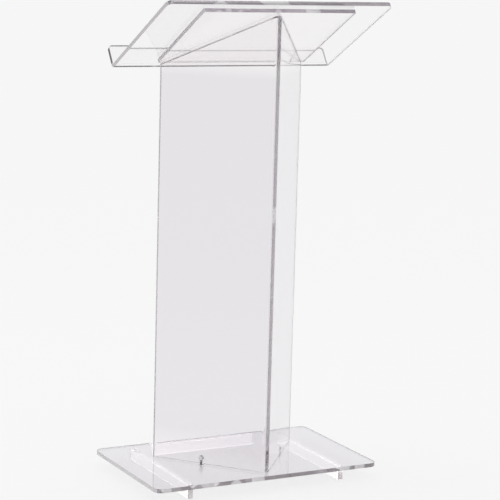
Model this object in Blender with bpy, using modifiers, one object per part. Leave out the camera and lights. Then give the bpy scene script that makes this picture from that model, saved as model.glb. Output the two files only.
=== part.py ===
"""Floor-standing presentation lectern made of clear acrylic sheet.

A V-shaped column, bent from one sheet with its apex towards the audience, stands on a base
plate with two side rails and a shorter rear rail under it.  Each wing of the column is held
down by a bolt that screws into a barrel nut.  The column's top edges are cut to the slope of
the desk and carry a mounting plate, and the desk lies on that.  The desk's low edge, on the
speaker's side, is bent up into a lip that stops papers from sliding off.

Frame: metres, +Z up, +X to the right when facing the speaker's side from the audience,
+Y towards the speaker.  The origin is on the floor under the middle of the base plate.
"""

import math

import bmesh
import bpy
from mathutils import Matrix, Vector

# Driving dimensions
SHEET = 0.010                   # thickness of the acrylic sheet
FIT_GAP = 0.0003                # space left between pieces that touch

BASE_WIDTH = 0.610
BASE_DEPTH = 0.381
BASE_CORNER = 0.020             # radius of the base plate's corners
BASE_TOP = 0.040                # height of the base plate's upper face

PAD_RADIUS = 0.006
PAD_FLOOR_RADIUS = 0.0051       # a pad narrows a little towards the floor
PAD_HEIGHT = 0.002
PAD_INSET = 0.018               # from a rail's end to the middle of a pad

RAIL_THICKNESS = 0.015
SIDE_RAIL_LENGTH = 0.344
SIDE_RAIL_SPACING = 0.416       # between the middles of the two side rails
REAR_RAIL_LENGTH = 0.292
REAR_RAIL_INSET = 0.001         # from the base plate's rear edge to the rail

WING_LENGTH = 0.3124            # outer face, from the sharp apex to the far end
WING_HALF_ANGLE = math.radians(38.85)
APEX_Y = -0.172                 # where the outer faces would meet without the bend
BEND_RADIUS = 0.0045            # inside radius of every bend
BEND_STEPS = 10

DESK_SLOPE = math.radians(28.35)
DESK_WIDTH = 0.598
DESK_FRONT_Y = -0.1901          # lower front edge of the desk
DESK_FRONT_HEIGHT = 1.139       # that edge above the base plate's upper face
DESK_LENGTH = 0.3565            # down the slope, to the lip's back face
DESK_CORNER = 0.015
LIP_HEIGHT = 0.060              # from the desk's lower face to the lip's top
LIP_LEAN = math.radians(5.5)    # how far the lip leans away from square
LIP_CORNER = 0.008

PLATE_WIDTH = 0.404
PLATE_LENGTH = 0.281
PLATE_INSET = 0.0193            # from the desk's front edge to the mounting plate

BOLT_RADIUS = 0.003
BOLT_TIP = 0.0006               # chamfer at the bolt's free end
BOLT_HEAD_RADIUS = 0.006
BOLT_HEAD_RIM = 0.0004          # straight part of the countersunk head
BOLT_HEAD_HEIGHT = 0.0033
BOLT_LENGTH = 0.030
BOLT_ALONG_WING = 0.180         # from the sharp apex to the bolt, along the outer face
SOCKET_RADIUS = 0.0023          # corners of the hexagonal socket
SOCKET_DEPTH = 0.002
NUT_RADIUS = 0.005
NUT_HEIGHT = 0.014              # middle of the barrel nut above the base plate
SLOT_WIDTH = 0.0012
SLOT_DEPTH = 0.0012
HOLE_CLEARANCE = 0.0003         # added to the radius of what goes in a hole
HOLE_END_SPACE = 0.001          # left beyond the bolt's free end

ROUND_STEPS = 24                # sides of a round hole or fastener
CORNER_STEPS = 6                # flats in a rounded corner of a panel
SHARP_EDGE = math.radians(35)   # steeper edges than this stay sharp

# Derived values
BASE_BOTTOM = BASE_TOP - SHEET
DESK_FRONT_Z = BASE_TOP + DESK_FRONT_HEIGHT
RAIL_TOP = BASE_BOTTOM - FIT_GAP
RAIL_BOTTOM = PAD_HEIGHT + FIT_GAP
BEND_OUTER = BEND_RADIUS + SHEET
SIDES = {"left": -1.0, "right": 1.0}
APEX = Vector((0.0, APEX_Y, 0.0))
LYING = Matrix.Rotation(math.pi / 2, 4, "X")    # turns a rod's axis from upright to local Y


def clear_scene():
    for obj in list(bpy.data.objects):
        bpy.data.objects.remove(obj, do_unlink=True)


def new_collection(name):
    collection = bpy.data.collections.new(name)
    bpy.context.scene.collection.children.link(collection)
    return collection


clear_scene()
PARTS = new_collection("acrylic_lectern")
CUTTERS = new_collection("cutters")


# Materials

def make_material(name, colour, roughness, metallic=0.0, transmission=0.0, ior=1.49):
    material = bpy.data.materials.new(name)
    material.use_nodes = True
    shader = material.node_tree.nodes["Principled BSDF"]
    shader.inputs["Base Color"].default_value = (*colour, 1.0)
    shader.inputs["Roughness"].default_value = roughness
    shader.inputs["Metallic"].default_value = metallic
    shader.inputs["Transmission Weight"].default_value = transmission
    shader.inputs["IOR"].default_value = ior
    return material


def clear_acrylic(name):
    return make_material(name, (0.93, 0.92, 0.93), 0.03, transmission=1.0)


def polished_steel(name):
    return make_material(name, (0.62, 0.62, 0.63), 0.25, metallic=1.0)


def clear_rubber(name):
    return make_material(name, (0.82, 0.82, 0.80), 0.45, transmission=0.6, ior=1.41)


# Shared shapes

def link_part(name, mesh, material):
    obj = bpy.data.objects.new(name, mesh)
    PARTS.objects.link(obj)
    mesh.materials.clear()
    mesh.materials.append(material)
    return obj


def box_mesh(name, low, high):
    mesh = bpy.data.meshes.new(name)
    bm = bmesh.new()
    size = Vector(high) - Vector(low)
    middle = (Vector(high) + Vector(low)) / 2
    matrix = Matrix.Translation(middle) @ Matrix.Diagonal((*size, 1.0))
    bmesh.ops.create_cube(bm, size=1.0, matrix=matrix)
    bm.to_mesh(mesh)
    bm.free()
    return mesh


def rod_mesh(name, radius, bottom, top, top_radius=None, sides=ROUND_STEPS):
    """A round rod, or a cone where top_radius is given, along its local Z axis."""
    mesh = bpy.data.meshes.new(name)
    bm = bmesh.new()
    bmesh.ops.create_cone(
        bm,
        cap_ends=True,
        segments=sides,
        radius1=radius,
        radius2=radius if top_radius is None else top_radius,
        depth=top - bottom,
        matrix=Matrix.Translation((0.0, 0.0, (bottom + top) / 2)),
    )
    bm.to_mesh(mesh)
    bm.free()
    return mesh


def smooth_round_faces(mesh):
    mesh.shade_smooth()
    mesh.set_sharp_from_angle(angle=SHARP_EDGE)


def add_cutter(name, mesh, matrix, parent=None):
    cutter = bpy.data.objects.new(name, mesh)
    CUTTERS.objects.link(cutter)
    cutter.parent = parent
    cutter.matrix_local = matrix
    cutter.hide_render = True
    cutter.display_type = "WIRE"
    return cutter


def cut(obj, cutter):
    boolean = obj.modifiers.new(cutter.name, "BOOLEAN")
    boolean.operation = "DIFFERENCE"
    boolean.solver = "EXACT"
    boolean.object = cutter


def round_corners(obj, radius):
    """Round the four upright edges of a flat panel."""
    bm = bmesh.new()
    bm.from_mesh(obj.data)
    corners = [
        edge for edge in bm.edges
        if abs(edge.verts[0].co.z - edge.verts[1].co.z) > SHEET / 2
    ]
    bmesh.ops.bevel(
        bm,
        geom=corners,
        offset=radius,
        segments=CORNER_STEPS,
        profile=0.5,
        affect="EDGES",
        offset_type="OFFSET",
    )
    bm.to_mesh(obj.data)
    bm.free()


def surface_mesh(name, rows):
    """An open surface through rows of two points each."""
    mesh = bpy.data.meshes.new(name)
    bm = bmesh.new()
    pairs = [(bm.verts.new(left), bm.verts.new(right)) for left, right in rows]
    for first, second in zip(pairs, pairs[1:]):
        bm.faces.new((first[0], first[1], second[1], second[0]))
    bm.to_mesh(mesh)
    bm.free()
    return mesh


def thicken(obj):
    """Give an open surface the sheet's thickness on the side its faces point to."""
    solidify = obj.modifiers.new("sheet_thickness", "SOLIDIFY")
    solidify.thickness = SHEET
    solidify.offset = 1.0
    solidify.use_even_offset = True


# Frames that several pieces share

def wing_direction(side):
    """From the apex along a wing, in plan."""
    return Vector((SIDES[side] * math.sin(WING_HALF_ANGLE), math.cos(WING_HALF_ANGLE), 0.0))


def wing_frame(side):
    """The middle of the wing's thickness under the bolt, at floor level, with Y inward."""
    angle = SIDES[side] * (math.pi / 2 - WING_HALF_ANGLE)
    inward = Vector((-math.sin(angle), math.cos(angle), 0.0))
    place = APEX + wing_direction(side) * BOLT_ALONG_WING + inward * SHEET / 2
    return Matrix.Translation(place) @ Matrix.Rotation(angle, 4, "Z")


def add_desk_frame():
    """An empty at the desk's lower front edge, with local Y running down the slope."""
    empty = bpy.data.objects.new("desk_frame", None)
    PARTS.objects.link(empty)
    empty.location = (0.0, DESK_FRONT_Y, DESK_FRONT_Z)
    empty.rotation_euler = (-DESK_SLOPE, 0.0, 0.0)
    return empty


# Base and feet

def make_base_plate(bolt_holes):
    low = (-BASE_WIDTH / 2, -BASE_DEPTH / 2, BASE_BOTTOM)
    high = (BASE_WIDTH / 2, BASE_DEPTH / 2, BASE_TOP)
    plate = link_part("base_plate", box_mesh("base_plate", low, high), clear_acrylic("base_acrylic"))
    round_corners(plate, BASE_CORNER)
    for hole in bolt_holes:
        cut(plate, hole)


def make_rail(name, middle_x, middle_y, size_x, size_y):
    low = (middle_x - size_x / 2, middle_y - size_y / 2, RAIL_BOTTOM)
    high = (middle_x + size_x / 2, middle_y + size_y / 2, RAIL_TOP)
    link_part(name, box_mesh(name, low, high), clear_acrylic(name + "_acrylic"))


def make_pad(name, x, y):
    mesh = rod_mesh(name, PAD_FLOOR_RADIUS, 0.0, PAD_HEIGHT, PAD_RADIUS)
    smooth_round_faces(mesh)
    pad = link_part(name, mesh, clear_rubber(name + "_rubber"))
    pad.location = (x, y, 0.0)


def make_feet():
    pad_y = SIDE_RAIL_LENGTH / 2 - PAD_INSET
    for side, sign in SIDES.items():
        x = sign * SIDE_RAIL_SPACING / 2
        make_rail(side + "_foot_rail", x, 0.0, RAIL_THICKNESS, SIDE_RAIL_LENGTH)
        make_pad("front_" + side + "_foot_pad", x, -pad_y)
        make_pad("rear_" + side + "_foot_pad", x, pad_y)
    rear_y = BASE_DEPTH / 2 - REAR_RAIL_INSET - RAIL_THICKNESS / 2
    make_rail("rear_foot_rail", 0.0, rear_y, REAR_RAIL_LENGTH, RAIL_THICKNESS)


# Column

def column_outline():
    """Outer face in plan, from the left wing's far end round the apex to the right's."""
    turn = math.pi - 2 * WING_HALF_ANGLE
    centre = APEX + Vector((0.0, BEND_OUTER / math.cos(turn / 2), 0.0))
    start = math.pi + WING_HALF_ANGLE
    points = [APEX + wing_direction("left") * WING_LENGTH]
    for step in range(BEND_STEPS + 1):
        angle = start + turn * step / BEND_STEPS
        points.append(centre + BEND_OUTER * Vector((math.cos(angle), math.sin(angle), 0.0)))
    points.append(APEX + wing_direction("right") * WING_LENGTH)
    return points


def make_column(slope_cutter, wing_holes):
    bottom = Vector((0.0, 0.0, BASE_TOP + FIT_GAP))
    top = Vector((0.0, 0.0, DESK_FRONT_Z))
    rows = [(point + bottom, point + top) for point in column_outline()]
    column = link_part("column", surface_mesh("column", rows), clear_acrylic("column_acrylic"))
    thicken(column)
    cut(column, slope_cutter)
    for hole in wing_holes:
        cut(column, hole)


# Desk

def quarter_turn():
    """(1 - cos, 1 - sin) at each step round a quarter circle, for a rounded corner."""
    for step in range(CORNER_STEPS + 1):
        angle = math.pi / 2 * step / CORNER_STEPS
        yield 1.0 - math.cos(angle), 1.0 - math.sin(angle)


def desk_rows():
    """Left and right points of the desk's lower face, down the slope and up the lip."""
    half = DESK_WIDTH / 2
    turn = math.pi / 2 - LIP_LEAN
    bend_start = DESK_LENGTH - BEND_OUTER * math.tan(turn / 2)
    lip_length = LIP_HEIGHT / math.cos(LIP_LEAN)
    rows = []
    for along, inset in quarter_turn():
        rows.append((half - DESK_CORNER * inset, DESK_CORNER * along, 0.0))
    for step in range(BEND_STEPS + 1):
        angle = turn * step / BEND_STEPS
        y = bend_start + BEND_OUTER * math.sin(angle)
        rows.append((half, y, BEND_OUTER * (1.0 - math.cos(angle))))
    for inset, along in quarter_turn():
        rise = lip_length - LIP_CORNER * along
        y = DESK_LENGTH + rise * math.sin(LIP_LEAN)
        rows.append((half - LIP_CORNER * inset, y, rise * math.cos(LIP_LEAN)))
    return [(Vector((-x, y, z)), Vector((x, y, z))) for x, y, z in rows]


def make_desk_panel(desk_frame):
    mesh = surface_mesh("desk_panel", desk_rows())
    panel = link_part("desk_panel", mesh, clear_acrylic("desk_acrylic"))
    panel.parent = desk_frame
    thicken(panel)


def make_mounting_plate(desk_frame):
    low = (-PLATE_WIDTH / 2, PLATE_INSET, -SHEET)
    high = (PLATE_WIDTH / 2, PLATE_INSET + PLATE_LENGTH, -FIT_GAP)
    mesh = box_mesh("desk_mounting_plate", low, high)
    plate = link_part("desk_mounting_plate", mesh, clear_acrylic("mounting_plate_acrylic"))
    plate.parent = desk_frame


def slope_cutter(desk_frame):
    """All the space above the mounting plate's lower face."""
    reach = 1.0
    low = (-reach, -reach, -SHEET - FIT_GAP)
    mesh = box_mesh("slope_cutter", low, (reach, reach, reach))
    return add_cutter("slope_cutter", mesh, Matrix.Identity(4), desk_frame)


# Bolts and barrel nuts that hold the column to the base plate

def turned(name, profile, material):
    """A round solid from (radius, height) points that run from its top to its bottom."""
    mesh = bpy.data.meshes.new(name)
    bm = bmesh.new()
    verts = [bm.verts.new((radius, 0.0, height)) for radius, height in profile]
    for first, second in zip(verts, verts[1:]):
        bm.edges.new((first, second))
    bm.to_mesh(mesh)
    bm.free()
    obj = link_part(name, mesh, material)
    screw = obj.modifiers.new("turn", "SCREW")
    screw.axis = "Z"
    screw.angle = math.tau
    screw.steps = ROUND_STEPS
    screw.render_steps = ROUND_STEPS
    screw.use_merge_vertices = True
    screw.merge_threshold = 0.00001
    screw.use_smooth_shade = True
    return obj


def make_bolt(side):
    """A countersunk bolt, head down in the base plate, with a hexagonal socket."""
    profile = [
        (0.0, BOLT_LENGTH),
        (BOLT_RADIUS - BOLT_TIP, BOLT_LENGTH),
        (BOLT_RADIUS, BOLT_LENGTH - BOLT_TIP),
        (BOLT_RADIUS, BOLT_HEAD_HEIGHT),
        (BOLT_HEAD_RADIUS, BOLT_HEAD_RIM),
        (BOLT_HEAD_RADIUS, 0.0),
        (0.0, 0.0),
    ]
    bolt = turned(side + "_column_bolt", profile, polished_steel(side + "_bolt_steel"))
    place = wing_frame(side) @ Matrix.Translation((0.0, 0.0, BASE_BOTTOM))
    bolt.matrix_world = place
    name = side + "_bolt_socket"
    socket = rod_mesh(name, SOCKET_RADIUS, -SOCKET_DEPTH, SOCKET_DEPTH, sides=6)
    cut(bolt, add_cutter(name, socket, place))


def make_barrel_nut(side):
    """A round nut lying through the wing, with a hole for the bolt and a driver slot."""
    name = side + "_barrel_nut"
    half = SHEET / 2 - FIT_GAP
    place = wing_frame(side) @ Matrix.Translation((0.0, 0.0, BASE_TOP + NUT_HEIGHT))
    mesh = rod_mesh(name, NUT_RADIUS, -half, half)
    smooth_round_faces(mesh)
    nut = link_part(name, mesh, polished_steel(side + "_nut_steel"))
    nut.matrix_world = place @ LYING
    radius = BOLT_RADIUS + HOLE_CLEARANCE
    bore = rod_mesh(name + "_bore", radius, -2 * NUT_RADIUS, 2 * NUT_RADIUS)
    cut(nut, add_cutter(name + "_bore", bore, place))
    low = (-2 * NUT_RADIUS, -half - SLOT_DEPTH, -SLOT_WIDTH / 2)
    high = (2 * NUT_RADIUS, -half + SLOT_DEPTH, SLOT_WIDTH / 2)
    slot = box_mesh(name + "_slot", low, high)
    cut(nut, add_cutter(name + "_slot", slot, place))


def wing_hole_cutters(side):
    """The nut's cross hole and the bolt's hole up from the column's bottom edge."""
    place = wing_frame(side) @ Matrix.Translation((0.0, 0.0, BASE_TOP))
    cross = rod_mesh(side + "_nut_hole", NUT_RADIUS + HOLE_CLEARANCE, -SHEET, SHEET)
    across = place @ Matrix.Translation((0.0, 0.0, NUT_HEIGHT)) @ LYING
    depth = BOLT_LENGTH - SHEET + HOLE_END_SPACE
    upright = rod_mesh(side + "_bolt_hole", BOLT_RADIUS + HOLE_CLEARANCE, -SHEET, depth)
    return [
        add_cutter(side + "_nut_hole", cross, across),
        add_cutter(side + "_bolt_hole", upright, place),
    ]


def base_hole_cutters(side):
    """The bolt's hole through the base plate, countersunk from below."""
    place = wing_frame(side) @ Matrix.Translation((0.0, 0.0, BASE_BOTTOM))
    radius = BOLT_RADIUS + HOLE_CLEARANCE
    through = rod_mesh(side + "_base_hole", radius, -SHEET, 2 * SHEET)
    slope = (BOLT_HEAD_RADIUS - BOLT_RADIUS) / (BOLT_HEAD_HEIGHT - BOLT_HEAD_RIM)
    mouth = BOLT_HEAD_RADIUS + HOLE_CLEARANCE + slope * BOLT_HEAD_RIM
    depth = BOLT_HEAD_HEIGHT + HOLE_CLEARANCE
    sink = rod_mesh(
        side + "_countersink",
        mouth + slope * depth,
        -depth,
        depth,
        mouth - slope * depth,
    )
    return [
        add_cutter(side + "_base_hole", through, place),
        add_cutter(side + "_countersink", sink, place),
    ]


def build():
    desk_frame = add_desk_frame()
    make_base_plate([cutter for side in SIDES for cutter in base_hole_cutters(side)])
    make_feet()
    wing_holes = [cutter for side in SIDES for cutter in wing_hole_cutters(side)]
    make_column(slope_cutter(desk_frame), wing_holes)
    make_mounting_plate(desk_frame)
    make_desk_panel(desk_frame)
    for side in SIDES:
        make_bolt(side)
        make_barrel_nut(side)


build()
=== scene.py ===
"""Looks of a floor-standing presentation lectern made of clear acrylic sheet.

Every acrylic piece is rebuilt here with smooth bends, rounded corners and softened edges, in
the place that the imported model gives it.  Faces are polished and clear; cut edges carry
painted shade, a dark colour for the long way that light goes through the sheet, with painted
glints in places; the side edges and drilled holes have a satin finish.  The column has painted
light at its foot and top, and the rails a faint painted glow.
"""

import math

import bmesh
import bpy
from mathutils import Matrix, Vector


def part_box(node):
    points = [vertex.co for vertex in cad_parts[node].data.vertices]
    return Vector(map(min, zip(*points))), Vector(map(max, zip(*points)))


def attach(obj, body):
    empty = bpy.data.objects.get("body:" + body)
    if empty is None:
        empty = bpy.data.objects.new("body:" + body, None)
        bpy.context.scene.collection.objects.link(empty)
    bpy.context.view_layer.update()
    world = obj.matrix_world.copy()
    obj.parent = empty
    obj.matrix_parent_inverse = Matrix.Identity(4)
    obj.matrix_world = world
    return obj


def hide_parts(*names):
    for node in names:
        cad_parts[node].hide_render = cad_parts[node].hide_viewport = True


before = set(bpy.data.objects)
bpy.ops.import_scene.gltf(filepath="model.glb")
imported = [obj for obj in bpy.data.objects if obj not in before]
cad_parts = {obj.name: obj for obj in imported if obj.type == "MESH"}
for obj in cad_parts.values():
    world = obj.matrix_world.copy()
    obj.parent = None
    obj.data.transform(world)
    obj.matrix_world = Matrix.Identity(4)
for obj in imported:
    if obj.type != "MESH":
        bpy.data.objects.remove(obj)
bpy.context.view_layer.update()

# Shape of the sheets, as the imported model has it
WING_HALF_ANGLE = math.radians(38.85)
BEND_RADIUS = 0.0045
DESK_SLOPE = math.radians(28.35)
DESK_LENGTH = 0.3565
DESK_CORNER = 0.015
LIP_HEIGHT = 0.060
LIP_LEAN = math.radians(5.5)
LIP_CORNER = 0.008
BASE_CORNER = 0.020
PLATE_LENGTH = 0.281
PLATE_INSET = 0.0193
BOLT_ALONG_WING = 0.180
NUT_RADIUS = 0.005
NUT_HEIGHT = 0.014
BOLT_RADIUS = 0.003
BOLT_HEAD_RADIUS = 0.006
BOLT_HEAD_RIM = 0.0004
BOLT_HEAD_HEIGHT = 0.0033
SOCKET_RADIUS = 0.0023
SOCKET_DEPTH = 0.002
SLOT_WIDTH = 0.0012
SLOT_DEPTH = 0.0012
HOLE_CLEARANCE = 0.0003
HOLE_END_SPACE = 0.001          # between a bolt's end and the end of its hole

# Fine shape
EDGE_ROUND = 0.0006             # polished rounding along every cut edge
RAIL_CORNER = 0.0012            # rounding at a rail's upright corners
BEND_STEPS = 48
CORNER_STEPS = 16
RAIL_CORNER_STEPS = 4
ROUND_STEPS = 48
THREAD_STEPS = 32
PAD_STEPS = 8
SHARP_EDGE = math.radians(30)
FLAT_ANGLE = 0.0005             # faces that meet at less than this are one face
WELD_DISTANCE = 0.000005

# Least share of a face's normal along the direction that names it
SIDEWAYS = 0.75                 # a sheet's sides and a rail's ends
LEVEL = 0.5                     # a plate's upper and lower faces
DESK_FRONT = 0.5                # the desk's front edge
COLUMN_RIM = 0.3                # the column's foot and sloping top
COLUMN_BACK = 0.7               # the wings' far ends
LIP_RIM = 0.4                   # the lip's top edge

# Bolts and nuts
THREAD_PITCH = 0.001
THREAD_DEPTH = 0.0004
PLAIN_SHANK = 0.002             # from the bolt's head to its thread
NUT_CHAMFER = 0.0004

# Tints of the acrylic, with painted shade and painted glints on its edges, and painted light
COLUMN_TINT = (0.855, 0.837, 0.863, 1.0)
COLUMN_PAINTED_LIGHT_TINT = (0.960, 0.945, 0.955, 1.0)
BASE_TINT = (0.845, 0.826, 0.855, 1.0)
DESK_TINT = (0.975, 0.965, 0.970, 1.0)
RAIL_TINT = (0.985, 0.980, 0.975, 1.0)
# painted shade on the cut edges: dark colours that stand in for the depth of sheet behind them
BASE_EDGE_PAINTED_SHADE = (0.36, 0.33, 0.35, 1.0)
COLUMN_EDGE_PAINTED_SHADE = (0.72, 0.68, 0.72, 1.0)
WING_END_PAINTED_SHADE = (0.46, 0.42, 0.45, 1.0)
DESK_EDGE_PAINTED_SHADE = (0.50, 0.46, 0.50, 1.0)
PLATE_EDGE_PAINTED_SHADE = (0.56, 0.50, 0.57, 1.0)
LIP_EDGE_PAINTED_SHADE = (0.08, 0.07, 0.08, 1.0)
# painted glints, mixed into the edges' painted shade by noise
EDGE_PAINTED_GLINT = (0.93, 0.91, 0.93, 1.0)
SHORT_GLINTS = 22.0             # noise scale of the painted glints
LONG_GLINTS = 13.0
GLINT_BLUR = 0.04               # how far the noise rises from an edge's painted shade to a painted glint
SATIN_TINT = (0.95, 0.93, 0.95, 1.0)
SATIN_SHADE = (0.78, 0.75, 0.77, 1.0)
ACRYLIC_IOR = 1.49
RAIL_PAINTED_GLOW_TINT = (1.0, 0.99, 0.96, 1.0)
SIDE_RAIL_PAINTED_GLOW = 0.07           # painted glow: emission that stands in for light the sheet gathers
REAR_RAIL_PAINTED_GLOW = 0.13
FOOT_PAINTED_LIGHT_FADE = (0.050, 0.125)      # heights between which the painted light at the column's foot fades into its tint
TOP_PAINTED_LIGHT_FADE = (1.000, 1.035)       # and back from the tint to painted light under the desk

# The other materials
STEEL_DARK = (0.78, 0.77, 0.76, 1.0)
STEEL_BRIGHT = (0.90, 0.89, 0.89, 1.0)
RUBBER_TINT = (0.86, 0.86, 0.84, 1.0)
RUBBER_IOR = 1.41
FLOOR_COLOUR = (0.16, 0.16, 0.16, 1.0)

# Stage
WHITE = (1.0, 1.0, 1.0, 1.0)
BACKDROP = 0.922                # radiance of the air behind the lectern
DIM_SIDE = 0.75                 # radiance of the unlit half of the studio
FLOOR_BRIGHT = BACKDROP - 0.14  # the floor also reflects some light, so it gives off less
FLOOR_DIM = DIM_SIDE - 0.10
FLOOR_REACH = 40.0
BRIGHT_DIRECTION = (0.50, 0.80, 0.33)
SOFTBOX_SIZE = (2.4, 1.6)
SOFTBOX_POWER = 12.0
SOFTBOX_PLACE = (-0.6, 0.6, 3.2)
SOFTBOX_TILT = math.radians(-10)
CAMERA_YAW = math.radians(27.7807)
CAMERA_PITCH = math.radians(-9.5367)
CAMERA_ROLL = math.radians(1.5650)
CAMERA_PLACE = (-2.0497, -3.9409)
CAMERA_HEIGHT = 1.2750          # above the base plate
CAMERA_LENS = 130.65
MAX_BOUNCES = 96                # light trapped in a sheet is reflected many times

# Places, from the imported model
BASE_LOW, BASE_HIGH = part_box("base_plate")
COLUMN_LOW, COLUMN_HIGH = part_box("column")
DESK_LOW, DESK_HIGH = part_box("desk_panel")
PLATE_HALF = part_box("desk_mounting_plate")[1].x
SHEET = BASE_HIGH.z - BASE_LOW.z
FIT_GAP = COLUMN_LOW.z - BASE_HIGH.z
BEND_OUTER = BEND_RADIUS + SHEET
APEX = Vector((0.0, COLUMN_LOW.y - BEND_OUTER * (1.0 / math.sin(WING_HALF_ANGLE) - 1.0), 0.0))
WING_LENGTH = COLUMN_HIGH.x / math.sin(WING_HALF_ANGLE)
DESK_EDGE = Vector((0.0, DESK_LOW.y, DESK_HIGH.z - SHEET * math.cos(DESK_SLOPE)))
DESK_FRAME = Matrix.Translation(DESK_EDGE) @ Matrix.Rotation(-DESK_SLOPE, 4, "X")
SIDES = {"left": -1.0, "right": 1.0}
LYING = Matrix.Rotation(math.pi / 2, 4, "X")

PIECES = bpy.data.collections.new("lectern_looks")
STAGE = bpy.data.collections.new("stage")
bpy.context.scene.collection.children.link(PIECES)
bpy.context.scene.collection.children.link(STAGE)


# Materials

def new_material(name):
    material = bpy.data.materials.new(name)
    material.use_nodes = True
    return material, material.node_tree, material.node_tree.nodes["Principled BSDF"]


def add_node(tree, kind, **inputs):
    node = tree.nodes.new(kind)
    for name, value in inputs.items():
        node.inputs[name.replace("_", " ")].default_value = value
    return node


def noise(tree, scale, detail, stretch=(1.0, 1.0, 1.0)):
    """Noise in the object's own metres, stretched by a scale on each axis."""
    place = tree.nodes.new("ShaderNodeTexCoord")
    mapping = add_node(tree, "ShaderNodeMapping", Scale=stretch)
    texture = add_node(tree, "ShaderNodeTexNoise", Scale=scale, Detail=detail)
    tree.links.new(place.outputs["Object"], mapping.inputs["Vector"])
    tree.links.new(mapping.outputs["Vector"], texture.inputs["Vector"])
    return texture.outputs["Fac"]


def remap(tree, source, given, wanted=(0.0, 1.0)):
    """A value stretched from the given range to the wanted one, and clamped to it."""
    node = add_node(
        tree,
        "ShaderNodeMapRange",
        From_Min=given[0],
        From_Max=given[1],
        To_Min=wanted[0],
        To_Max=wanted[1],
    )
    tree.links.new(source, node.inputs["Value"])
    return node.outputs["Result"]


def add_bump(tree, shader, height, strength, distance):
    bump = add_node(tree, "ShaderNodeBump", Strength=strength, Distance=distance)
    tree.links.new(height, bump.inputs["Height"])
    tree.links.new(bump.outputs["Normal"], shader.inputs["Normal"])


def acrylic_face(name, tint):
    """Polished faces: almost smooth, with hairline wipe marks and a few handled patches."""
    material, tree, shader = new_material(name)
    shader.inputs["Base Color"].default_value = tint
    shader.inputs["IOR"].default_value = ACRYLIC_IOR
    shader.inputs["Transmission Weight"].default_value = 1.0
    patches = noise(tree, scale=9.0, detail=3.0)
    roughness = remap(tree, patches, given=(0.45, 0.75), wanted=(0.0, 0.035))
    tree.links.new(roughness, shader.inputs["Roughness"])
    wipes = noise(tree, scale=60.0, detail=2.0, stretch=(1.0, 14.0, 1.0))
    add_bump(tree, shader, wipes, strength=0.02, distance=0.0002)
    return material


def blend(tree, share, first, second):
    """A colour between two, by a share from 0 to 1."""
    node = tree.nodes.new("ShaderNodeMix")
    node.data_type = "RGBA"
    node.inputs["A"].default_value = first
    node.inputs["B"].default_value = second
    tree.links.new(share, node.inputs["Factor"])
    return node.outputs["Result"]


def acrylic_column():
    """The column's faces, with painted light at the foot and under the desk, where light enters the
    sheet.
    """
    material = acrylic_face("column_face", COLUMN_TINT)
    tree = material.node_tree
    place = tree.nodes.new("ShaderNodeTexCoord")
    axes = tree.nodes.new("ShaderNodeSeparateXYZ")
    tree.links.new(place.outputs["Object"], axes.inputs["Vector"])
    above_foot = remap(tree, axes.outputs["Z"], given=FOOT_PAINTED_LIGHT_FADE)
    below_top = remap(tree, axes.outputs["Z"], given=TOP_PAINTED_LIGHT_FADE, wanted=(1.0, 0.0))
    both = tree.nodes.new("ShaderNodeMath")
    both.operation = "MULTIPLY"
    tree.links.new(above_foot, both.inputs[0])
    tree.links.new(below_top, both.inputs[1])
    # painted light: a pale tint at the foot and the top, the plain tint between
    colour = blend(tree, both.outputs["Value"], COLUMN_PAINTED_LIGHT_TINT, COLUMN_TINT)
    tree.links.new(colour, tree.nodes["Principled BSDF"].inputs["Base Color"])
    return material


def acrylic_rail(name, glow):
    """Rails cut from the clearest sheet, with a faint painted glow for the light the plate gathers.
    """
    material = acrylic_face(name, RAIL_TINT)
    shader = material.node_tree.nodes["Principled BSDF"]
    shader.inputs["Emission Color"].default_value = RAIL_PAINTED_GLOW_TINT
    shader.inputs["Emission Strength"].default_value = glow
    return material


def acrylic_edge(name, tint, glint_scale, glint_start, clearness):
    """Polished edges in painted shade for the sheet's depth behind them, with painted glints."""
    material, tree, shader = new_material(name)
    spots = noise(tree, scale=glint_scale, detail=1.0)
    glints = remap(tree, spots, given=(glint_start, glint_start + GLINT_BLUR))
    tree.links.new(blend(tree, glints, tint, EDGE_PAINTED_GLINT), shader.inputs["Base Color"])
    shader.inputs["IOR"].default_value = ACRYLIC_IOR
    shader.inputs["Transmission Weight"].default_value = clearness
    ripple = noise(tree, scale=22.0, detail=2.0)
    roughness = remap(tree, ripple, given=(0.35, 0.70), wanted=(0.03, 0.16))
    tree.links.new(roughness, shader.inputs["Roughness"])
    waves = noise(tree, scale=90.0, detail=2.0)
    add_bump(tree, shader, waves, strength=0.10, distance=0.0004)
    return material


def acrylic_satin():
    """Sawn side edges and drilled holes, which scatter the light that reaches them."""
    material, tree, shader = new_material("acrylic_satin")
    shader.inputs["IOR"].default_value = ACRYLIC_IOR
    shader.inputs["Transmission Weight"].default_value = 0.45
    saw_marks = noise(tree, scale=120.0, detail=3.0, stretch=(1.0, 6.0, 1.0))
    shade = remap(tree, saw_marks, given=(0.3, 0.7))
    tree.links.new(blend(tree, shade, SATIN_TINT, SATIN_SHADE), shader.inputs["Base Color"])
    roughness = remap(tree, saw_marks, given=(0.3, 0.7), wanted=(0.25, 0.45))
    tree.links.new(roughness, shader.inputs["Roughness"])
    add_bump(tree, shader, saw_marks, strength=0.25, distance=0.0003)
    return material


def turned_steel():
    """Bright stainless steel with fine turning marks."""
    material, tree, shader = new_material("turned_steel")
    shader.inputs["Metallic"].default_value = 1.0
    marks = noise(tree, scale=900.0, detail=2.0, stretch=(0.2, 0.2, 3.0))
    tree.links.new(blend(tree, marks, STEEL_DARK, STEEL_BRIGHT), shader.inputs["Base Color"])
    roughness = remap(tree, marks, given=(0.3, 0.7), wanted=(0.14, 0.30))
    tree.links.new(roughness, shader.inputs["Roughness"])
    add_bump(tree, shader, marks, strength=0.08, distance=0.0001)
    return material


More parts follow.
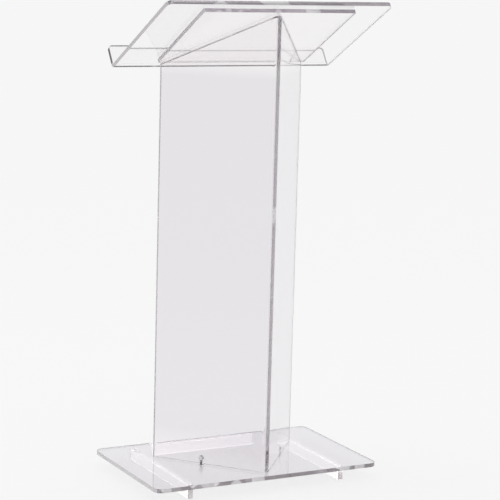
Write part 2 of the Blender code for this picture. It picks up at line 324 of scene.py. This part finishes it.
def clear_rubber():
    """Soft, slightly milky polyurethane with a fine matt grain."""
    material, tree, shader = new_material("clear_rubber")
    shader.inputs["Base Color"].default_value = RUBBER_TINT
    shader.inputs["IOR"].default_value = RUBBER_IOR
    shader.inputs["Transmission Weight"].default_value = 0.6
    grain = noise(tree, scale=2500.0, detail=2.0)
    roughness = remap(tree, grain, given=(0.3, 0.7), wanted=(0.30, 0.50))
    tree.links.new(roughness, shader.inputs["Roughness"])
    add_bump(tree, shader, grain, strength=0.15, distance=0.00005)
    return material


SATIN = acrylic_satin()
STEEL = turned_steel()
RUBBER = clear_rubber()
# edge materials: painted shade with painted glints in places
BASE_EDGE = acrylic_edge("base_edge", BASE_EDGE_PAINTED_SHADE, SHORT_GLINTS, 0.53, clearness=0.55)
COLUMN_EDGE = acrylic_edge("column_edge", COLUMN_EDGE_PAINTED_SHADE, LONG_GLINTS, 0.70, clearness=0.80)
WING_END = acrylic_edge("wing_end", WING_END_PAINTED_SHADE, LONG_GLINTS, 0.70, clearness=0.55)
PANEL_EDGE = acrylic_edge("panel_edge", DESK_EDGE_PAINTED_SHADE, LONG_GLINTS, 0.66, clearness=0.55)
PLATE_EDGE = acrylic_edge("plate_edge", PLATE_EDGE_PAINTED_SHADE, SHORT_GLINTS, 0.54, clearness=0.60)
LIP_EDGE = acrylic_edge("lip_edge", LIP_EDGE_PAINTED_SHADE, LONG_GLINTS, 0.66, clearness=0.10)
BASE_SHEET = (acrylic_face("base_face", BASE_TINT), BASE_EDGE, SATIN)
COLUMN_SHEET = (acrylic_column(), COLUMN_EDGE, SATIN, WING_END)
DESK_FACE = acrylic_face("desk_face", DESK_TINT)
DESK_SHEET = (DESK_FACE, PANEL_EDGE, SATIN, LIP_EDGE)
PLATE_SHEET = (DESK_FACE, PLATE_EDGE, SATIN)
SIDE_RAIL_SHEET = (acrylic_rail("side_rail_face", SIDE_RAIL_PAINTED_GLOW), BASE_EDGE)
REAR_RAIL_SHEET = (acrylic_rail("rear_rail_face", REAR_RAIL_PAINTED_GLOW), BASE_EDGE)
# the last slot holds painted shade: the wings' far ends and the edges round the lip
FACE_SLOT, EDGE_SLOT, SATIN_SLOT, PAINTED_SHADE_SLOT = range(4)


# Shared mesh work

def new_piece(name, mesh, materials, slot, *nodes):
    """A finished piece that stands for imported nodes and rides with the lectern."""
    obj = bpy.data.objects.new(name, mesh)
    PIECES.objects.link(obj)
    for material in materials:
        mesh.materials.append(material)
    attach(obj, "root")
    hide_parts(*nodes)
    return obj


def soften(bm, width, steps=2):
    """Round off every edge that is sharper than SHARP_EDGE."""
    sharp = [edge for edge in bm.edges if edge.is_manifold and edge.calc_face_angle() > SHARP_EDGE]
    bmesh.ops.bevel(
        bm,
        geom=sharp,
        offset=width,
        offset_type="OFFSET",
        segments=steps,
        profile=0.5,
        affect="EDGES",
        clamp_overlap=True,
    )


def assign_slots(bm, slot_of):
    for face in bm.faces:
        face.material_index = slot_of(face)


def smooth_normals(obj):
    """Smooth shading that leaves the large flat faces perfectly flat."""
    obj.data.shade_smooth()
    weighted = obj.modifiers.new("face_weighted_normals", "WEIGHTED_NORMAL")
    weighted.mode = "FACE_AREA"
    weighted.weight = 100
    weighted.keep_sharp = True


def to_mesh(bm, name, matrix=None):
    bmesh.ops.recalc_face_normals(bm, faces=bm.faces)
    if matrix is not None:
        bm.transform(matrix)
    mesh = bpy.data.meshes.new(name)
    bm.to_mesh(mesh)
    bm.free()
    return mesh


def prism(outline, low, high):
    """A solid on a plan outline of (x, y) points, between two heights."""
    bm = bmesh.new()
    bottom = [bm.verts.new((x, y, low)) for x, y in outline]
    top = [bm.verts.new((x, y, high)) for x, y in outline]
    bm.faces.new(bottom)
    bm.faces.new(top)
    for index in range(len(outline)):
        after = (index + 1) % len(outline)
        bm.faces.new((bottom[index], bottom[after], top[after], top[index]))
    bmesh.ops.recalc_face_normals(bm, faces=bm.faces)
    return bm


def arc(centre, radius, start, turn, steps):
    return [
        (
            centre[0] + radius * math.cos(start + turn * step / steps),
            centre[1] + radius * math.sin(start + turn * step / steps),
        )
        for step in range(steps + 1)
    ]


def rounded_rectangle(low_x, low_y, high_x, high_y, radius, steps=CORNER_STEPS):
    quarter = math.pi / 2
    corners = (
        (high_x - radius, high_y - radius, 0.0),
        (low_x + radius, high_y - radius, quarter),
        (low_x + radius, low_y + radius, 2 * quarter),
        (high_x - radius, low_y + radius, 3 * quarter),
    )
    outline = []
    for x, y, start in corners:
        outline.extend(arc((x, y), radius, start, quarter, steps))
    return outline


def lathe(profile, steps=ROUND_STEPS):
    """A round solid from (radius, height) points between two points on its axis."""
    bm = bmesh.new()
    verts = [bm.verts.new((radius, 0.0, height)) for radius, height in profile]
    for first, second in zip(verts, verts[1:]):
        bm.edges.new((first, second))
    bmesh.ops.spin(
        bm,
        geom=bm.verts[:] + bm.edges[:],
        axis=(0.0, 0.0, 1.0),
        cent=(0.0, 0.0, 0.0),
        steps=steps,
        angle=math.tau,
        use_merge=True,
    )
    bmesh.ops.remove_doubles(bm, verts=bm.verts, dist=WELD_DISTANCE)
    bmesh.ops.recalc_face_normals(bm, faces=bm.faces)
    return bm


def rod(radius, low, high):
    return lathe([(0.0, low), (radius, low), (radius, high), (0.0, high)])


def carve(bm, cutters):
    """Take cutter solids away from a solid, with Blender's exact boolean."""
    target = bpy.data.objects.new("carve_target", to_mesh(bm, "carve_target"))
    bpy.context.scene.collection.objects.link(target)
    tools = []
    for cutter in cutters:
        tool = bpy.data.objects.new("carve_tool", to_mesh(cutter, "carve_tool"))
        bpy.context.scene.collection.objects.link(tool)
        boolean = target.modifiers.new("carve", "BOOLEAN")
        boolean.operation = "DIFFERENCE"
        boolean.solver = "EXACT"
        boolean.object = tool
        tools.append(tool)
    bpy.context.view_layer.update()
    evaluated = target.evaluated_get(bpy.context.evaluated_depsgraph_get())
    carved = bmesh.new()
    carved.from_mesh(evaluated.to_mesh())
    for obj in (target, *tools):
        bpy.data.objects.remove(obj, do_unlink=True)
    return carved


def placed(bm, matrix):
    bm.transform(matrix)
    return bm


def wing_direction(side):
    """From the apex along a wing, in plan."""
    return Vector((SIDES[side] * math.sin(WING_HALF_ANGLE), math.cos(WING_HALF_ANGLE), 0.0))


def wing_frame(side, height):
    """The middle of the wing's thickness over the bolt, with Y inward."""
    angle = SIDES[side] * (math.pi / 2 - WING_HALF_ANGLE)
    inward = Vector((-math.sin(angle), math.cos(angle), 0.0))
    place = APEX + wing_direction(side) * BOLT_ALONG_WING + inward * SHEET / 2
    place.z = height
    return Matrix.Translation(place) @ Matrix.Rotation(angle, 4, "Z")


def in_drilled_hole(face):
    """Whether a face is the wall of a hole for a bolt or a barrel nut."""
    middle = face.calc_center_bounds()
    middle.z = 0.0
    reach = BOLT_HEAD_RADIUS + HOLE_CLEARANCE
    return any((middle - wing_frame(side, 0.0).translation).length < reach for side in SIDES)


# Base and feet

def base_slot(face):
    """Clear above and below, satin in the drilled holes and at the two short sides, painted shade on
    the other edges.
    """
    if in_drilled_hole(face) or abs(face.normal.x) > SIDEWAYS:
        return SATIN_SLOT
    return FACE_SLOT if abs(face.normal.z) > LEVEL else EDGE_SLOT


def make_base_plate():
    """A plate with rounded corners and two holes countersunk from below."""
    outline = rounded_rectangle(BASE_LOW.x, BASE_LOW.y, BASE_HIGH.x, BASE_HIGH.y, BASE_CORNER)
    bm = prism(outline, BASE_LOW.z, BASE_HIGH.z)
    soften(bm, EDGE_ROUND)
    slope = (BOLT_HEAD_RADIUS - BOLT_RADIUS) / BOLT_HEAD_HEIGHT
    sink = BOLT_HEAD_RADIUS + HOLE_CLEARANCE + slope * HOLE_CLEARANCE
    narrow = BOLT_RADIUS + HOLE_CLEARANCE
    profile = [
        (0.0, -SHEET),
        (sink, -SHEET),
        (sink, 0.0),
        (narrow, BOLT_HEAD_HEIGHT + HOLE_CLEARANCE),
        (narrow, 2 * SHEET),
        (0.0, 2 * SHEET),
    ]
    holes = [placed(lathe(profile), wing_frame(side, BASE_LOW.z)) for side in SIDES]
    bm = carve(bm, holes)
    assign_slots(bm, base_slot)
    mesh = to_mesh(bm, "base_plate_clear")
    obj = new_piece("base_plate_clear", mesh, BASE_SHEET, "base_acrylic", "base_plate")
    smooth_normals(obj)


def make_rail(node, sheet):
    """A bar on edge under the base plate, with painted shade on its cut ends."""
    low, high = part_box(node)
    outline = rounded_rectangle(low.x, low.y, high.x, high.y, RAIL_CORNER, RAIL_CORNER_STEPS)
    bm = prism(outline, low.z, high.z)
    soften(bm, EDGE_ROUND)
    long_in_x = high.x - low.x > high.y - low.y
    for face in bm.faces:
        end = abs(face.normal.x) if long_in_x else abs(face.normal.y)
        face.material_index = EDGE_SLOT if end > SIDEWAYS else FACE_SLOT
    mesh = to_mesh(bm, node + "_clear")
    obj = new_piece(node + "_clear", mesh, sheet, "rail_acrylic", node)
    smooth_normals(obj)


def make_pad(node):
    """A low dome that narrows to a flat floor face, with a thin flange against the rail."""
    low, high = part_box(node)
    radius = (high.x - low.x) / 2
    height = high.z - low.z
    flange = height * 0.2
    flat = radius * 0.8
    shoulder = radius * 0.95
    profile = [(0.0, 0.0), (flat, 0.0)]
    for step in range(1, PAD_STEPS + 1):
        angle = math.pi / 2 * step / PAD_STEPS
        x = flat + (shoulder - flat) * math.sin(angle)
        profile.append((x, (height - flange) * (1.0 - math.cos(angle))))
    profile += [(radius, height - flange), (radius, height), (0.0, height)]
    middle = Matrix.Translation(((low.x + high.x) / 2, (low.y + high.y) / 2, low.z))
    mesh = to_mesh(lathe(profile), node + "_soft", middle)
    obj = new_piece(node + "_soft", mesh, (RUBBER,), "pad_rubber", node)
    smooth_normals(obj)


# Column

def column_outline():
    """The bent sheet in plan: round the outer face, then back round the inner face."""
    turn = math.pi - 2 * WING_HALF_ANGLE
    centre = APEX + Vector((0.0, BEND_OUTER / math.cos(turn / 2), 0.0))
    start = math.pi + WING_HALF_ANGLE
    outer = arc(centre, BEND_OUTER, start, turn, BEND_STEPS)
    inner = arc(centre, BEND_RADIUS, start, turn, BEND_STEPS)
    ends = []
    for side in ("right", "left"):
        along = wing_direction(side)
        inward = Vector((-SIDES[side] * math.cos(WING_HALF_ANGLE), math.sin(WING_HALF_ANGLE), 0.0))
        outer_end = APEX + along * WING_LENGTH
        inner_end = outer_end + inward * SHEET
        ends.append((outer_end.xy[:], inner_end.xy[:]))
    right, left = ends
    return outer + [right[0], right[1]] + inner[::-1] + [left[1], left[0]]


def column_slot(face):
    """Clear wings, satin drilled holes, pale painted shade at the foot and top, darker at far ends.
    """
    if in_drilled_hole(face):
        return SATIN_SLOT
    if abs(face.normal.z) > COLUMN_RIM:
        return EDGE_SLOT
    near_end = face.calc_center_bounds().y > COLUMN_HIGH.y - SHEET
    return PAINTED_SHADE_SLOT if near_end and face.normal.y > COLUMN_BACK else FACE_SLOT


def make_column():
    """The bent sheet, cut off along the desk's slope and drilled for bolts and barrel nuts."""
    bm = prism(column_outline(), COLUMN_LOW.z, DESK_HIGH.z)
    under_plate = DESK_FRAME @ Vector((0.0, 0.0, -SHEET - FIT_GAP))
    slope_normal = DESK_FRAME.to_3x3() @ Vector((0.0, 0.0, 1.0))
    trimmed = bmesh.ops.bisect_plane(
        bm,
        geom=bm.verts[:] + bm.edges[:] + bm.faces[:],
        plane_co=under_plate,
        plane_no=slope_normal,
        clear_outer=True,
    )
    rim = [item for item in trimmed["geom_cut"] if isinstance(item, bmesh.types.BMEdge)]
    bmesh.ops.contextual_create(bm, geom=rim)
    bmesh.ops.recalc_face_normals(bm, faces=bm.faces)
    soften(bm, EDGE_ROUND)
    cutters = []
    for side in SIDES:
        foot = wing_frame(side, COLUMN_LOW.z)
        nut = wing_frame(side, BASE_HIGH.z + NUT_HEIGHT)
        _, bolt_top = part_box(side + "_column_bolt")
        depth = bolt_top.z - COLUMN_LOW.z + HOLE_END_SPACE
        cutters.append(placed(rod(NUT_RADIUS + HOLE_CLEARANCE, -SHEET, SHEET), nut @ LYING))
        cutters.append(placed(rod(BOLT_RADIUS + HOLE_CLEARANCE, -SHEET, depth), foot))
    bm = carve(bm, cutters)
    assign_slots(bm, column_slot)
    mesh = to_mesh(bm, "column_clear")
    obj = new_piece("column_clear", mesh, COLUMN_SHEET, "column_acrylic", "column")
    smooth_normals(obj)


# Desk

def quarter_turn():
    """(1 - cos, 1 - sin) at each step round a quarter circle, for a rounded corner."""
    for step in range(CORNER_STEPS + 1):
        angle = math.pi / 2 * step / CORNER_STEPS
        yield 1.0 - math.cos(angle), 1.0 - math.sin(angle)


def desk_rows():
    """(half width, along, rise, inward normal) down the desk's lower face and up the lip."""
    half = DESK_HIGH.x
    turn = math.pi / 2 - LIP_LEAN
    bend_start = DESK_LENGTH - BEND_OUTER * math.tan(turn / 2)
    lip_length = LIP_HEIGHT / math.cos(LIP_LEAN)
    up = (0.0, 1.0)
    rows = []
    for along, inset in quarter_turn():
        rows.append((half - DESK_CORNER * inset, DESK_CORNER * along, 0.0, up))
    for step in range(BEND_STEPS + 1):
        angle = turn * step / BEND_STEPS
        y = bend_start + BEND_OUTER * math.sin(angle)
        z = BEND_OUTER * (1.0 - math.cos(angle))
        rows.append((half, y, z, (-math.sin(angle), math.cos(angle))))
    for inset, short in quarter_turn():
        rise = lip_length - LIP_CORNER * short
        y = DESK_LENGTH + rise * math.sin(LIP_LEAN)
        z = rise * math.cos(LIP_LEAN)
        rows.append((half - LIP_CORNER * inset, y, z, (-math.cos(LIP_LEAN), math.sin(LIP_LEAN))))
    return rows


def desk_slot(face):
    """Clear sheet, satin sides, polished front edge in painted shade, darker painted shade round the
    lip.
    """
    middle = face.calc_center_median()
    lip_top = Vector((0.0, math.sin(LIP_LEAN), math.cos(LIP_LEAN)))
    if middle.z > LIP_HEIGHT - LIP_CORNER - EDGE_ROUND and face.normal.dot(lip_top) > LIP_RIM:
        return PAINTED_SHADE_SLOT
    if abs(face.normal.x) > SIDEWAYS:
        return PAINTED_SHADE_SLOT if middle.z > 2 * SHEET else SATIN_SLOT
    if face.normal.y < -DESK_FRONT and middle.y < DESK_CORNER:
        return EDGE_SLOT
    return FACE_SLOT


def plate_slot(face):
    """Clear above and below, satin at both sides, polished and in painted shade at front and rear."""
    if abs(face.normal.x) > SIDEWAYS:
        return SATIN_SLOT
    return FACE_SLOT if abs(face.normal.z) > LEVEL else EDGE_SLOT


def make_desk_panel():
    """The desk and its lip, built as one sheet of even thickness."""
    bm = bmesh.new()
    rings = []
    for half, y, z, (inward_y, inward_z) in desk_rows():
        ring = []
        for x, depth in ((-half, 0.0), (half, 0.0), (half, SHEET), (-half, SHEET)):
            ring.append(bm.verts.new((x, y + inward_y * depth, z + inward_z * depth)))
        rings.append(ring)
    for first, second in zip(rings, rings[1:]):
        for index in range(4):
            after = (index + 1) % 4
            bm.faces.new((first[index], first[after], second[after], second[index]))
    bm.faces.new(rings[0])
    bm.faces.new(rings[-1])
    bmesh.ops.recalc_face_normals(bm, faces=bm.faces)
    assign_slots(bm, desk_slot)
    bmesh.ops.dissolve_limit(
        bm, angle_limit=FLAT_ANGLE, verts=bm.verts, edges=bm.edges, delimit={"MATERIAL"}
    )
    soften(bm, EDGE_ROUND)
    assign_slots(bm, desk_slot)
    mesh = to_mesh(bm, "desk_clear", DESK_FRAME)
    obj = new_piece("desk_clear", mesh, DESK_SHEET, "desk_acrylic", "desk_panel")
    smooth_normals(obj)


def make_mounting_plate():
    """The flat plate between the column's top and the desk."""
    rear = PLATE_INSET + PLATE_LENGTH
    outline = rounded_rectangle(
        -PLATE_HALF, PLATE_INSET, PLATE_HALF, rear, RAIL_CORNER, RAIL_CORNER_STEPS
    )
    bm = prism(outline, -SHEET, -FIT_GAP)
    soften(bm, EDGE_ROUND)
    assign_slots(bm, plate_slot)
    mesh = to_mesh(bm, "mounting_plate_clear", DESK_FRAME)
    obj = new_piece(
        "mounting_plate_clear", mesh, PLATE_SHEET, "mounting_plate_acrylic", "desk_mounting_plate"
    )
    smooth_normals(obj)


# Bolts and barrel nuts

def make_bolt(side):
    """A countersunk bolt with rolled thread ridges and a hexagonal socket."""
    node = side + "_column_bolt"
    low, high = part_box(node)
    length = high.z - low.z
    root = BOLT_RADIUS - THREAD_DEPTH
    profile = [(0.0, 0.0), (BOLT_HEAD_RADIUS, 0.0), (BOLT_HEAD_RADIUS, BOLT_HEAD_RIM)]
    profile.append((BOLT_RADIUS, BOLT_HEAD_HEIGHT))
    height = BOLT_HEAD_HEIGHT + PLAIN_SHANK
    profile.append((BOLT_RADIUS, height))
    while height + THREAD_PITCH < length - THREAD_PITCH:
        profile.append((root, height + THREAD_PITCH / 2))
        profile.append((BOLT_RADIUS, height + THREAD_PITCH))
        height += THREAD_PITCH
    profile.append((root, length - THREAD_DEPTH))
    profile.append((root - THREAD_DEPTH, length))
    profile.append((0.0, length))
    hexagon = arc((0.0, 0.0), SOCKET_RADIUS, 0.0, math.tau * 5 / 6, 5)
    bm = carve(lathe(profile, THREAD_STEPS), [prism(hexagon, -SOCKET_DEPTH, SOCKET_DEPTH)])
    mesh = to_mesh(bm, node + "_threaded", wing_frame(side, low.z))
    obj = new_piece(node + "_threaded", mesh, (STEEL,), "bolt_steel", node)
    obj.data.shade_smooth()
    obj.data.set_sharp_from_angle(angle=SHARP_EDGE)


def make_barrel_nut(side):
    """A round nut with chamfered rims, a driver slot and a bore for the bolt."""
    node = side + "_barrel_nut"
    half = SHEET / 2 - FIT_GAP
    profile = [
        (0.0, -half),
        (NUT_RADIUS - NUT_CHAMFER, -half),
        (NUT_RADIUS, NUT_CHAMFER - half),
        (NUT_RADIUS, half - NUT_CHAMFER),
        (NUT_RADIUS - NUT_CHAMFER, half),
        (0.0, half),
    ]
    body = placed(lathe(profile), LYING)
    reach = 2 * NUT_RADIUS
    bore = rod(BOLT_RADIUS + HOLE_CLEARANCE, -reach, reach)
    slot = [
        (-reach, -half - SLOT_DEPTH),
        (reach, -half - SLOT_DEPTH),
        (reach, SLOT_DEPTH - half),
        (-reach, SLOT_DEPTH - half),
    ]
    bm = carve(body, [bore, prism(slot, -SLOT_WIDTH / 2, SLOT_WIDTH / 2)])
    mesh = to_mesh(bm, node + "_turned", wing_frame(side, BASE_HIGH.z + NUT_HEIGHT))
    obj = new_piece(node + "_turned", mesh, (STEEL,), "nut_steel", node)
    obj.data.shade_smooth()
    obj.data.set_sharp_from_angle(angle=SHARP_EDGE)


# Stage

def make_floor():
    """A wide pale floor whose light is painted: it glows evenly round the lectern, dimmer to the
    left.
    """
    mesh = bpy.data.meshes.new("studio_floor")
    corners = [(x * FLOOR_REACH, y * FLOOR_REACH, 0) for x, y in ((-1, -1), (1, -1), (1, 1), (-1, 1))]
    mesh.from_pydata(corners, [], [(0, 1, 2, 3)])
    floor = bpy.data.objects.new("studio_floor", mesh)
    STAGE.objects.link(floor)
    material, tree, shader = new_material("studio_floor")
    shader.inputs["Base Color"].default_value = FLOOR_COLOUR
    shader.inputs["Roughness"].default_value = 1.0
    shader.inputs["Specular IOR Level"].default_value = 0.0
    shader.inputs["Emission Color"].default_value = WHITE
    place = tree.nodes.new("ShaderNodeTexCoord")
    axes = tree.nodes.new("ShaderNodeSeparateXYZ")
    tree.links.new(place.outputs["Object"], axes.inputs["Vector"])
    share = tree.nodes.new("ShaderNodeMath")
    share.operation = "MULTIPLY"
    tree.links.new(remap(tree, axes.outputs["X"], given=(-2.4, -0.8)), share.inputs[0])
    tree.links.new(remap(tree, axes.outputs["Y"], given=(-3.0, -1.0)), share.inputs[1])
    # painted light and shade: the floor's own glow, dimmer towards the viewer's left
    glow = remap(tree, share.outputs["Value"], given=(0.0, 1.0), wanted=(FLOOR_DIM, FLOOR_BRIGHT))
    tree.links.new(glow, shader.inputs["Emission Strength"])
    mesh.materials.append(material)


def make_world():
    """A soft wrap-round light, bright behind and above, dimmer on the viewer's side."""
    world = bpy.data.worlds.new("studio")
    bpy.context.scene.world = world
    world.use_nodes = True
    tree = world.node_tree
    background = tree.nodes["Background"]
    place = tree.nodes.new("ShaderNodeTexCoord")
    facing = tree.nodes.new("ShaderNodeVectorMath")
    facing.operation = "DOT_PRODUCT"
    facing.inputs[1].default_value = BRIGHT_DIRECTION
    tree.links.new(place.outputs["Generated"], facing.inputs[0])
    glow = remap(tree, facing.outputs["Value"], given=(-0.45, 0.25), wanted=(DIM_SIDE, BACKDROP))
    tree.links.new(glow, background.inputs["Strength"])
    background.inputs["Color"].default_value = WHITE


def make_softbox():
    """A large soft light overhead, which puts broad highlights on the desk and the base."""
    light = bpy.data.lights.new("overhead_softbox", "AREA")
    light.shape = "RECTANGLE"
    light.size, light.size_y = SOFTBOX_SIZE
    light.energy = SOFTBOX_POWER
    softbox = bpy.data.objects.new("overhead_softbox", light)
    STAGE.objects.link(softbox)
    softbox.location = SOFTBOX_PLACE
    softbox.rotation_euler = (SOFTBOX_TILT, SOFTBOX_TILT, 0.0)


def make_camera():
    """Low in front and to the left, looking slightly down, with a slight roll."""
    ahead = Vector((
        math.sin(CAMERA_YAW) * math.cos(CAMERA_PITCH),
        math.cos(CAMERA_YAW) * math.cos(CAMERA_PITCH),
        math.sin(CAMERA_PITCH),
    ))
    level = Vector((math.cos(CAMERA_YAW), -math.sin(CAMERA_YAW), 0.0))
    above = level.cross(ahead)
    right = level * math.cos(CAMERA_ROLL) + above * math.sin(CAMERA_ROLL)
    up = above * math.cos(CAMERA_ROLL) - level * math.sin(CAMERA_ROLL)
    matrix = Matrix((right, up, -ahead)).transposed().to_4x4()
    matrix.translation = (*CAMERA_PLACE, BASE_HIGH.z + CAMERA_HEIGHT)
    camera_data = bpy.data.cameras.new("camera")
    camera_data.sensor_width = 36.0
    camera_data.lens = CAMERA_LENS
    camera_data.clip_end = 200.0
    camera = bpy.data.objects.new("camera", camera_data)
    STAGE.objects.link(camera)
    camera.matrix_world = matrix
    bpy.context.scene.camera = camera


def set_look():
    scene = bpy.context.scene
    scene.view_settings.view_transform = "Standard"
    scene.cycles.max_bounces = MAX_BOUNCES
    scene.cycles.transmission_bounces = MAX_BOUNCES
    scene.cycles.glossy_bounces = MAX_BOUNCES
    scene.cycles.transparent_max_bounces = 16


make_camera()
set_look()
make_world()
make_floor()
make_softbox()
make_base_plate()
make_rail("left_foot_rail", SIDE_RAIL_SHEET)
make_rail("right_foot_rail", SIDE_RAIL_SHEET)
make_rail("rear_foot_rail", REAR_RAIL_SHEET)
for end in ("front", "rear"):
    for side in SIDES:
        make_pad(end + "_" + side + "_foot_pad")
make_column()
make_mounting_plate()
make_desk_panel()
for side in SIDES:
    make_bolt(side)
    make_barrel_nut(side)
